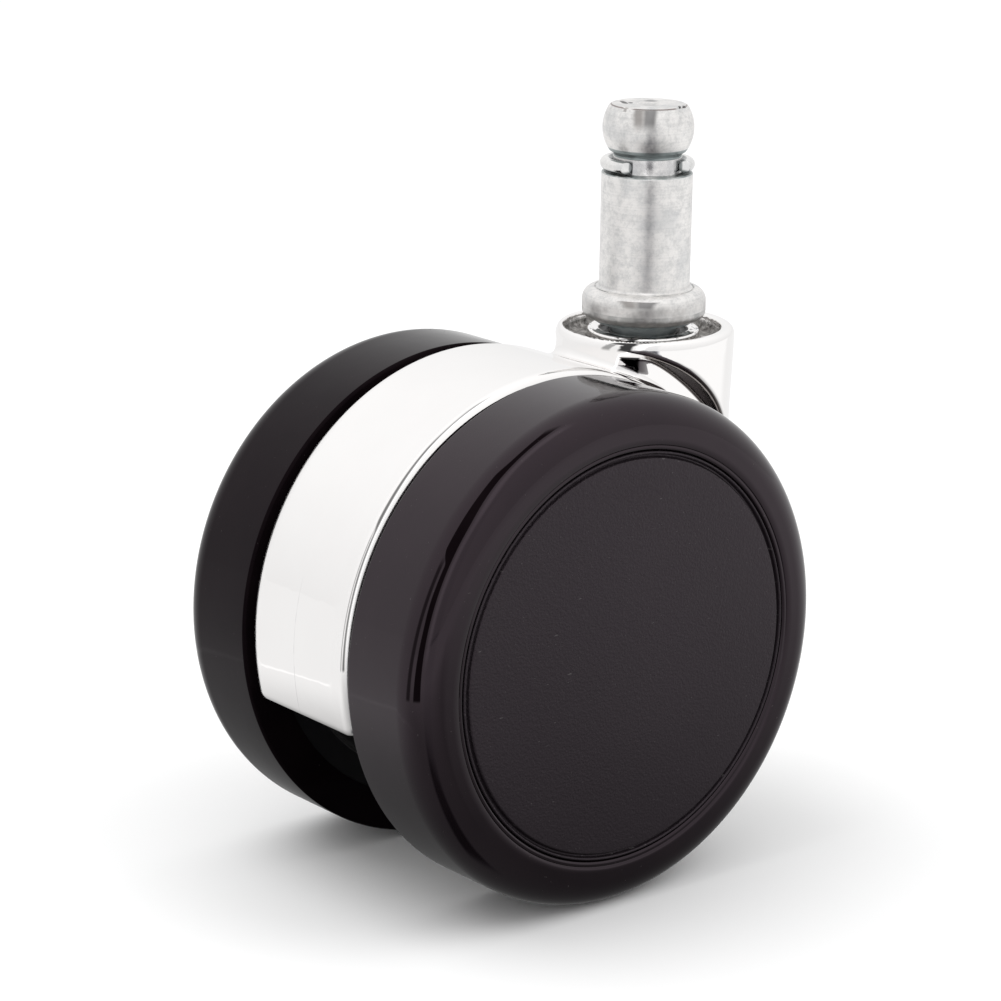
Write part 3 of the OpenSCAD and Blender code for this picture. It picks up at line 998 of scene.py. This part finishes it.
def grip_ring():
    """Open wire ring with cut ends that are slightly rounded over."""
    start, span = math.radians(290.4), math.radians(272.0)
    length_count, round_count = 150, 32
    taper = 2.4                     # length of wire over which the slanted cut fades
    # row, way along the wire, slant of the cut
    ends = ((0, -1, 0.15), (length_count, 1, 0.50))
    verts, faces, rows = [], [], []
    for i in range(length_count + 1):
        row = []
        for j in range(round_count):
            turn = 2 * math.pi * j / round_count
            angle = start + span * i / length_count
            # each cut slants, so the wire is shorter on its outer side
            for end, way, slant in ends:
                away = abs(i - end) / length_count * span * GRIP_R
                fade = max(0.0, 1.0 - away / taper) ** 2
                angle -= way * slant * WIRE_R * (1.0 + math.cos(turn)) / GRIP_R * fade
            row.append(len(verts))
            verts.append(np.array(upright(GRIP_R + WIRE_R * math.cos(turn), angle,
                                          GRIP_Z + WIRE_R * math.sin(turn))))
        rows.append(row)

    def band(a, b, way=1):
        for j in range(round_count):
            after = (j + 1) % round_count
            quad = (a[j], a[after], b[after], b[j])
            faces.append(quad if way > 0 else tuple(reversed(quad)))

    for a, b in zip(rows, rows[1:]):
        band(a, b)
    for end, way, _ in ends:
        cut = np.array([verts[j] for j in rows[end]])
        middle = cut.mean(0)
        outward = np.cross(cut[round_count // 4] - middle, cut[0] - middle)
        outward /= np.linalg.norm(outward)
        angle = start + span * end / length_count
        if np.dot(outward, np.array([-math.sin(angle), math.cos(angle), 0]) * way) < 0:
            outward = -outward
        previous = rows[end]
        for share, past in END_ROUNDING:
            row = list(range(len(verts), len(verts) + round_count))
            verts += [middle + (point - middle) * share + outward * past for point in cut]
            band(previous, row, way)
            previous = row
        tip = len(verts)
        verts.append(middle + outward * END_ROUNDING[-1][1])
        for j in range(round_count):
            triangle = (previous[j], previous[(j + 1) % round_count], tip)
            faces.append(triangle if way > 0 else tuple(reversed(triangle)))
    build("grip_ring", "grip_ring", "spring_steel", verts, face_outwards(verts, faces),
          sharp=50)


# ------------------------------------------------------------------ wheels
def tyre(side, hand):
    shoulder_r, shoulder_y = 3.85, 4.18
    seat_r = 25.92
    lip_r = CAP_R + 0.1
    line_r = lip_r + 0.62
    profile = [
        (seat_r, Y_IN + 0.05),
        *arc(WHEEL_R - 0.35, Y_IN + 0.35, 0.35, -90, 0, 8),
        *arc(WHEEL_R - shoulder_r, Y_OUT - shoulder_y, shoulder_r, 0, 90, 48, shoulder_y),
        # witness line of the overmoulding, then the rolled lip beside the cap
        (line_r + 0.10, Y_OUT), (line_r + 0.06, Y_OUT - 0.03), (line_r, Y_OUT - 0.10),
        (line_r - 0.05, Y_OUT - 0.04),
        *arc(lip_r + 0.40, Y_OUT - 0.43, 0.40, 80, 180, 14),
        (lip_r, Y_OUT - 1.83), (seat_r, Y_OUT - 1.83),
    ]
    verts, faces = lathe(densify(profile, 1.2), 420, on_axle(side))
    build(hand + "_tyre", hand + "_wheel", "tyre_pu", verts, faces,
          material=MATERIALS["tyre_pu"] if side < 0 else LEFT_TYRE_SHADED, sharp=42, weighted=True)


# Edge of the cap, a narrow bead and then a groove: inwards from the cap's radius,
# below its face
CAP_EDGE = (
    (0, 0.30), (0.02, 0.18), (0.07, 0.09), (0.15, 0.05), (0.24, 0.07), (0.31, 0.13),
    (0.36, 0.24), (0.39, 0.42), (0.46, 0.50), (0.60, 0.52), (0.69, 0.46), (0.75, 0.30),
    (0.80, 0.13), (0.88, 0.04), (0.98, 0.005),
)


def hub_cap(side, hand):
    face = Y_OUT - 0.02
    profile = [
        # back, with a beaded skirt
        (0.0, Y_OUT - 1.3), (21.0, Y_OUT - 1.3), (21.0, 18.2), (22.0, 18.2), (22.3, 18.6),
        (22.75, 18.9), (22.75, 19.3), (22.3, 19.7), (22.3, Y_OUT - 1.38), (CAP_R, Y_OUT - 1.38),
        *((CAP_R - inwards, face - below) for inwards, below in CAP_EDGE),
        (0.0, face),
    ]
    verts, faces = lathe(densify(profile, 1.6), 420, on_axle(side))
    build(hand + "_hub_cap", hand + "_wheel", "cap_plastic", verts, faces,
          sharp=40, weighted=True)


def wheel_core(side, hand):
    """Moulded wheel centre: the closed web is seen from between the wheels."""
    rim_r = 25.9
    profile = [
        # hub end and web, on the inner side
        (5.22, 10.40), (7.6, 10.40), (8.0, 10.7), (8.2, Y_IN + 1.5), (8.6, Y_IN + 1.6),
        (21.9, Y_IN + 1.6), (22.4, Y_IN + 1.4), (22.7, Y_IN + 0.45), (22.95, Y_IN + 0.2),
        # rim, then the recess behind the cap
        (rim_r, Y_IN + 0.2), (rim_r, Y_OUT - 1.85), (CAP_R, Y_OUT - 1.85),
        (CAP_R, Y_OUT - 1.4), (22.5, Y_OUT - 1.4), (22.5, 19.9), (23.0, 19.7),
        (23.0, 18.5), (22.5, 18.3), (22.5, Y_IN + 3.4), (8.0, Y_IN + 3.4),
        (8.0, 17.2), (5.22, 17.2),
    ]
    place = on_axle(side)
    verts, faces = lathe(densify(profile, 2.0), 240, place)
    # ribs behind the cap, each a closed bar
    rib_count = 10
    half_thick = 0.6
    bar_faces = [(0, 1, 3, 2), (4, 6, 7, 5), (0, 4, 5, 1), (2, 3, 7, 6), (0, 2, 6, 4),
                 (1, 5, 7, 3)]
    for rib in range(rib_count):
        angle = 2 * math.pi * rib / rib_count
        c, s = math.cos(angle), math.sin(angle)
        first = len(verts)
        for radius in (7.6, 22.8):
            for across in (-half_thick, half_thick):
                for height in (Y_IN + 3.0, Y_IN + 7.6):
                    x, y, z = place(0, 0, height)
                    verts.append((x + radius * c - across * s, y,
                                  z + radius * s + across * c))
        bar = face_outwards(verts[first:], bar_faces)
        faces += [tuple(first + corner for corner in face) for face in bar]
    build(hand + "_wheel_core", hand + "_wheel", "core_nylon", verts, faces, sharp=35)


body_casting()
stem()
grip_ring()
for side, hand in ((-1, "right"), (1, "left")):
    tyre(side, hand)
    hub_cap(side, hand)
    wheel_core(side, hand)


# ------------------------------------------------------------------ studio
def floor_glow(place, x, y, radius):
    """Painted brightness of the paper as seen in a mirror: painted shadow darkens it towards
    the castor's foot and on the right."""
    left = 0.13 + step(radius, 10.0, 85.0) * 0.80
    # painted light: a wavering brighter ring round the foot
    ring_r, waver = 86.0, 12.0
    wave = radius + (noise(place, scale=0.06, detail=2, rough=0.5) - 0.5) * waver
    left = left + (1.0 - step(abs(wave - ring_r), 0.6, 2.4)) * 0.16
    outwards = abs(x) * 0.8 + y * -0.6
    right = 0.10 + step(outwards, -20.0, 190.0) * 0.95
    leftness = step(y, -45.0, 10.0)
    return left * leftness + right * (1.0 - leftness)


def floor_material():
    material, bsdf, place = new_material("floor_paper")
    tree = material.node_tree
    cloud = noise(place, scale=0.01, detail=3, rough=0.5)
    feed_all(bsdf, {
        "Base Color": mix(cloud, (0.90, 0.90, 0.90), (0.93, 0.93, 0.93)),
        "Roughness": 0.75,
        "Specular IOR Level": 0.2,
    })
    x, y, _ = split(place)
    radius = (x * x + y * y) ** 0.5
    glow = floor_glow(place, x, y, radius)
    incoming, backfacing = sources(tree, "ShaderNodeNewGeometry", "Incoming", "Backfacing")
    direction = scaled(incoming, -1.0)
    # height the ray came from, taking it to start near the swivel axis
    fall = abs(dot(direction, UP))
    level = math_node("SQRT", math_node("MAXIMUM", 1.0 - fall * fall, 0.0001))
    from_high = step(radius * (fall / level), 44.0, 54.0)
    shine = scaled(room(direction, from_high), glow)
    glossy, straight = sources(tree, "ShaderNodeLightPath", "Is Glossy Ray", "Is Camera Ray")
    # painted light and shade: to rays other than the camera's the paper glows, darker towards
    # the castor's foot as painted shadow
    soft = 0.10 + step(radius, 10.0, 120.0) * 0.45
    emission = add_node(tree, "ShaderNodeEmission",
                        {"Color": mix(glossy, combine(soft, soft, soft), shine)})
    paper = add_node(tree, "ShaderNodeMixShader",
                     {"Fac": straight, 1: emission, 2: Value(bsdf.outputs[0])})
    # seen from underneath the paper is clear, so the castor's foot shows
    clear = add_node(tree, "ShaderNodeBsdfTransparent", {})
    surface = add_node(tree, "ShaderNodeMixShader",
                       {"Fac": backfacing * straight, 1: paper, 2: clear})
    feed(tree.nodes["Material Output"].inputs["Surface"], surface)
    # only there when the Cycles add-on is on
    if hasattr(material, "cycles"):
        material.cycles.emission_sampling = "NONE"
    return material


def floor():
    """A paper disc just under the wheels; its sizes are in metres."""
    count, radius = 64, 4.0
    verts = [(0, 0, 0)] + [upright(radius, 2 * math.pi * k / count, 0) for k in range(count)]
    faces = [(0, 1 + k, 1 + (k + 1) % count) for k in range(count)]
    mesh = bpy.data.meshes.new("floor")
    mesh.from_pydata(verts, [], faces)
    disc = bpy.data.objects.new("floor", mesh)
    disc.location = (-TRAIL * MM, 0, FLOOR_Z * MM - 0.00002)
    bpy.context.scene.collection.objects.link(disc)
    mesh.materials.append(floor_material())


def studio_world():
    """The tent: brighter above, and plain white straight to the camera."""
    world = bpy.data.worlds.new("studio")
    bpy.context.scene.world = world
    world.use_nodes = True
    tree = world.node_tree
    tree.nodes.clear()
    output = tree.nodes.new("ShaderNodeOutputWorld")
    [direction] = sources(tree, "ShaderNodeTexCoord", "Generated")
    glossy, straight = sources(tree, "ShaderNodeLightPath", "Is Glossy Ray", "Is Camera Ray")
    rise = dot(direction, UP)
    shine = scaled(room(direction), 0.90 + rise * 0.22)
    soft = 0.80 + rise * 0.25
    light = mix(glossy, combine(soft, soft, soft), shine)
    light = mix(straight, light, (1.0, 1.0, 1.0))
    background = add_node(tree, "ShaderNodeBackground", {"Color": light, "Strength": 1.0})
    feed(output.inputs["Surface"], background)


def lamp(name, azimuth, elevation, distance, size, power):
    """Disc lamp aimed at the axle; degrees (azimuth from -Y towards +X), metres, watts."""
    light = bpy.data.lights.new(name, "AREA")
    light.shape = "DISK"
    light.size = size
    light.energy = power
    light.color = (1, 1, 1)
    holder = bpy.data.objects.new(name, light)
    a, e = math.radians(azimuth), math.radians(elevation)
    offset = Vector((math.sin(a) * math.cos(e), -math.cos(a) * math.cos(e), math.sin(e)))
    offset = offset * distance
    holder.location = offset + Vector((-TRAIL * MM, 0, -DROP * MM))
    holder.rotation_euler = (-offset).to_track_quat("-Z", "Y").to_euler()
    holder.visible_glossy = False
    bpy.context.scene.collection.objects.link(holder)


def camera():
    data = bpy.data.cameras.new("camera")
    data.sensor_width = 36.0
    data.sensor_fit = "HORIZONTAL"
    data.lens = 120.696743
    data.clip_start = 0.01
    data.clip_end = 50
    holder = bpy.data.objects.new("camera", data)
    bpy.context.scene.collection.objects.link(holder)
    # the camera's own axes, then its place from the axle
    right = Vector((0.77310693, -0.63411652, 0.01420962))
    up = Vector((0.16114679, 0.21803736, 0.96254424))
    back = Vector((-0.61346343, -0.74185979, 0.27075204))
    pose = Matrix((right, up, back)).transposed().to_4x4()
    pose.translation = Vector((-245.05 - TRAIL, -295.90, 121.61 - DROP)) * MM
    holder.matrix_world = pose
    bpy.context.scene.camera = holder


floor()
studio_world()
lamp("key", azimuth=-120, elevation=62, distance=1.2, size=0.9, power=5.0)
lamp("fill", azimuth=40, elevation=48, distance=1.3, size=0.9, power=3.0)
camera()
bpy.context.scene.view_settings.view_transform = "Standard"
bpy.context.scene.view_settings.look = "None"
